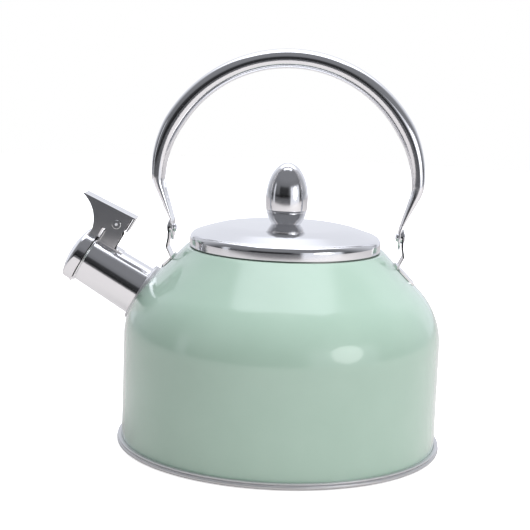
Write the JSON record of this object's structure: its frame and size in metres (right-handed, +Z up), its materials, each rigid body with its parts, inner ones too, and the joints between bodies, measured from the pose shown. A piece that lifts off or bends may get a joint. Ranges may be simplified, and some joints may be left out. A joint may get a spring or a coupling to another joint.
{
  "type": "whistling kettle",
  "caption": "Stovetop whistling kettle: painted round body, polished lift-off lid with egg knob, upright spout with hinged whistle cap and thumb lever, folding bail handle.",
  "frame": {"origin": "centre of the base plate's underside, on the body's axis", "axes": "+Z up along the body's axis; the spout points along -X; the bail handle stands in the XZ plane and folds towards +Y or -Y"},
  "size_m": [0.2371, 0.2, 0.2431],
  "materials": {
    "body_paint": "gloss",
    "polished_steel": "mirror polished",
    "brushed_steel": "brushed",
    "spring_steel": "satin",
    "aluminium": "satin",
    "silicone": "matt",
    "knob_plug": "matt"
  },
  "bodies": {
    "kettle": {"body_shell": "body_paint", "bottom_pan": "brushed_steel", "heat_spreader": "aluminium", "base_plate": "brushed_steel", "spout_tube": "polished_steel", "spout_collar": "polished_steel", "mouth_ring": "polished_steel", "hinge_bracket": "polished_steel", "lever_pin": "polished_steel", "lever_spring": "spring_steel", "ear_left": "polished_steel", "ear_right": "polished_steel", "rivet_left": "polished_steel", "rivet_right": "polished_steel", "spacer_left": "polished_steel", "spacer_right": "polished_steel"},
    "handle": {"bail_handle": "polished_steel"},
    "cap": {"thumb_lever": "polished_steel", "cap_plate": "polished_steel", "cap_shell": "polished_steel", "whistle_cup": "brushed_steel", "cap_seal": "silicone"},
    "lid": {"lid_cover": "polished_steel", "lid_skirt": "brushed_steel", "knob_collar": "polished_steel", "knob_shell": "polished_steel", "knob_plug": "knob_plug", "knob_washer": "brushed_steel", "knob_screw": "brushed_steel"}
  },
  "joints": [
    {"name": "handle_fold", "type": "hinge", "parent": "kettle", "child": "handle", "pos_m": [0, 0, 0.132], "axis": [1, 0, 0], "range_deg": [-95, 95]},
    {"name": "cap_open", "type": "hinge", "parent": "kettle", "child": "cap", "pos_m": [-0.10323, 0, 0.13315], "axis": [0, 1, 0], "range_deg": [0, 30], "stiffness_Nm_per_rad": 0.1, "springref_deg": -28.65},
    {"name": "lid_lift", "type": "slide", "parent": "kettle", "child": "lid", "axis": [0, 0, 1], "range_m": [0, 0.05]}
  ]
}
